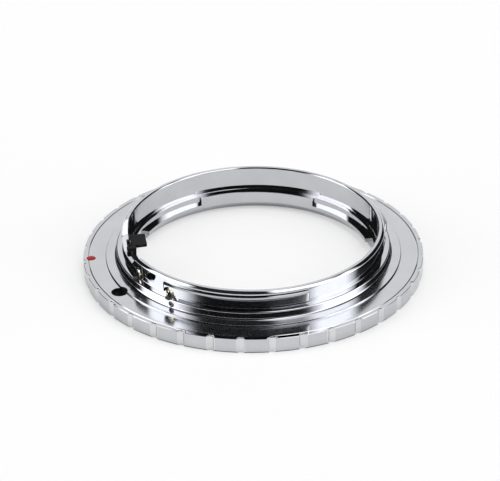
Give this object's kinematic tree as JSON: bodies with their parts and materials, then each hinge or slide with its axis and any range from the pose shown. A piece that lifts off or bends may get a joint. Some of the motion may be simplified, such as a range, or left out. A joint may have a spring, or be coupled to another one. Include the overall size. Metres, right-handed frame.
{
  "type": "lens mount adapter",
  "caption": "Chromed ring that carries a bayonet lens on a camera: notched grip rim, stepped flange, lugged neck, inner lens lips and a sprung lock tab.",
  "frame": {"origin": "bottom centre of the ring, on the lens seat face", "axes": "+Z along the optical axis towards the camera, -Y is the picture's near side, +X its right"},
  "size_m": [0.067, 0.067, 0.0087],
  "materials": {
    "chrome_plate": "bright satin chrome plate on turned brass",
    "black_spring": "blackened spring strip",
    "brass_screw": "plain brass",
    "red_paint": "red index paint"
  },
  "bodies": {
    "ring": {"adapter_ring": "chrome_plate", "notch_screw": "brass_screw", "lug_screw": "brass_screw", "index_dot": "red_paint"},
    "lever": {"lock_spring": "black_spring"}
  },
  "joints": [
    {"name": "lock_release", "type": "hinge", "parent": "ring", "child": "lever", "pos_m": [-0.02166, -0.0108, 0.00597], "axis": [0, 0, 1], "range_deg": [0, 4], "stiffness_Nm_per_rad": 0.8, "deforming": ["lock_spring"]}
  ]
}
